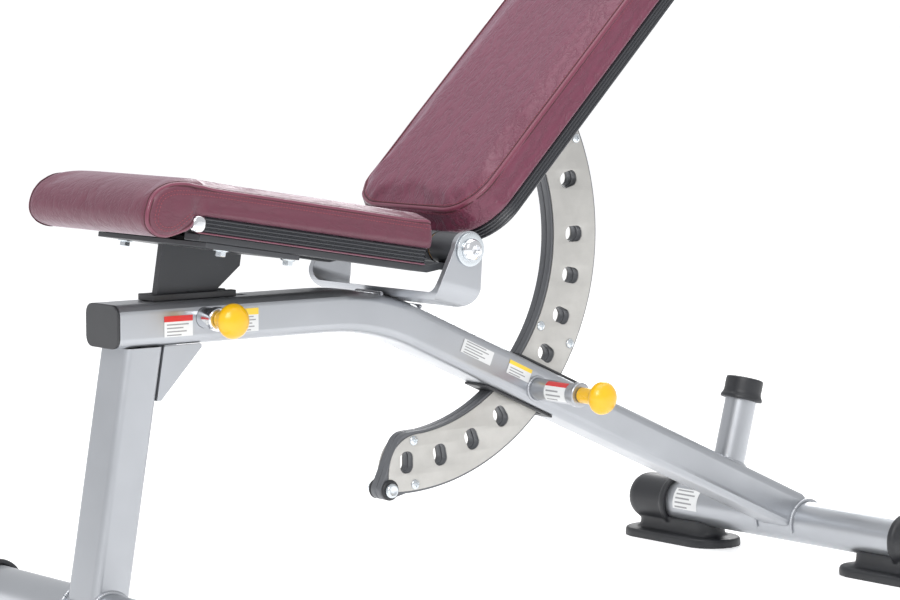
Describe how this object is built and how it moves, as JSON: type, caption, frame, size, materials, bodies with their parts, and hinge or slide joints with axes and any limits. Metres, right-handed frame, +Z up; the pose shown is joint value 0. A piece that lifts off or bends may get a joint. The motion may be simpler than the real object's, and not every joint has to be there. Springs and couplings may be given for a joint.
{
  "type": "adjustable weight bench",
  "caption": "Incline and decline weight bench: bent beam on crosswise feet, tilting back and seat pads, slotted arc plate with pull pins.",
  "frame": {"origin": "on the floor, under the middle of the bench's outline", "axes": "+X to the head end, +Y across the bench away from the pull knobs, +Z up"},
  "size_m": [1.185, 0.616, 1.0917],
  "materials": {
    "silver_paint": "satin silver powder coat",
    "charcoal_paint": "fine-texture charcoal powder coat",
    "stainless_plate": "satin stainless steel",
    "chrome": "bright zinc and chrome plate",
    "spring_steel": "drawn spring wire",
    "bronze": "sintered bronze",
    "black_rubber": "matt moulded rubber",
    "black_plastic": "matt nylon",
    "yellow_plastic": "glossy yellow moulded plastic",
    "burgundy_vinyl": "grained upholstery vinyl",
    "edge_trim": "ribbed extruded vinyl",
    "plywood": "plywood with a dark backing cloth"
  },
  "bodies": {
    "frame": {"main_beam": "silver_paint", "beam_end_cap": "black_plastic", "front_foot_tube": "silver_paint", "front_boot_near": "black_rubber", "front_boot_far": "black_rubber", "rear_foot_tube": "silver_paint", "rear_boot_near": "black_rubber", "rear_boot_far": "black_rubber", "front_leg": "silver_paint", "front_gusset": "silver_paint", "hinge_bracket": "silver_paint", "hinge_washer_near": "chrome", "hinge_washer_far": "chrome", "hinge_bolt": "chrome", "hinge_nut": "chrome", "back_pin_barrel": "silver_paint", "seat_pin_barrel": "chrome", "rest_post": "silver_paint", "rest_post_cap": "black_rubber", "arc_guide_top": "black_plastic", "arc_guide_bottom": "black_plastic", "seat_plate_guide": "black_plastic"},
    "back": {"back_hinge_tube": "charcoal_paint", "back_bush_near": "bronze", "back_ear_near": "charcoal_paint", "back_bush_far": "bronze", "back_ear_far": "charcoal_paint", "back_spine": "charcoal_paint", "back_plate_lower": "charcoal_paint", "back_plate_upper": "charcoal_paint", "back_landing_channel": "charcoal_paint", "back_board": "plywood", "back_trim": "edge_trim", "back_pad": "burgundy_vinyl", "arc_core": "charcoal_paint", "arc_cover_near": "stainless_plate", "arc_cover_far": "stainless_plate", "arc_screw_1": "chrome", "arc_screw_2": "chrome", "arc_screw_3": "chrome", "arc_screw_4": "chrome", "stop_bumper": "black_rubber", "bumper_bolt": "chrome"},
    "seat": {"seat_board": "plywood", "seat_trim": "edge_trim", "seat_pad": "burgundy_vinyl", "seat_hinge_tube_near": "charcoal_paint", "seat_bush_near": "bronze", "seat_rail_near": "charcoal_paint", "seat_hinge_tube_far": "charcoal_paint", "seat_bush_far": "bronze", "seat_rail_far": "charcoal_paint", "seat_cross_plate": "charcoal_paint", "seat_plate": "charcoal_paint"},
    "back_puller": {"back_pin": "chrome", "back_pin_knob": "yellow_plastic", "back_pin_spring": "spring_steel"},
    "seat_puller": {"seat_pin": "chrome", "seat_pin_knob": "yellow_plastic", "seat_pin_spring": "spring_steel"}
  },
  "joints": [
    {"name": "back_tilt", "type": "hinge", "parent": "frame", "child": "back", "pos_m": [-0.1105, 0, 0.458], "axis": [0, -1, 0], "range_deg": [-60, 45]},
    {"name": "seat_tilt", "type": "hinge", "parent": "frame", "child": "seat", "pos_m": [-0.1105, 0, 0.458], "axis": [0, 1, 0], "range_deg": [-9.2, 0]},
    {"name": "back_pin_pull", "type": "slide", "parent": "frame", "child": "back_puller", "axis": [0, -1, 0], "range_m": [0, 0.02], "stiffness_N_per_m": 900, "springref_m": -0.01, "deforming": ["back_pin_spring"]},
    {"name": "seat_pin_pull", "type": "slide", "parent": "frame", "child": "seat_puller", "axis": [0, -1, 0], "range_m": [0, 0.02], "stiffness_N_per_m": 700, "springref_m": -0.01, "deforming": ["seat_pin_spring"]}
  ]
}
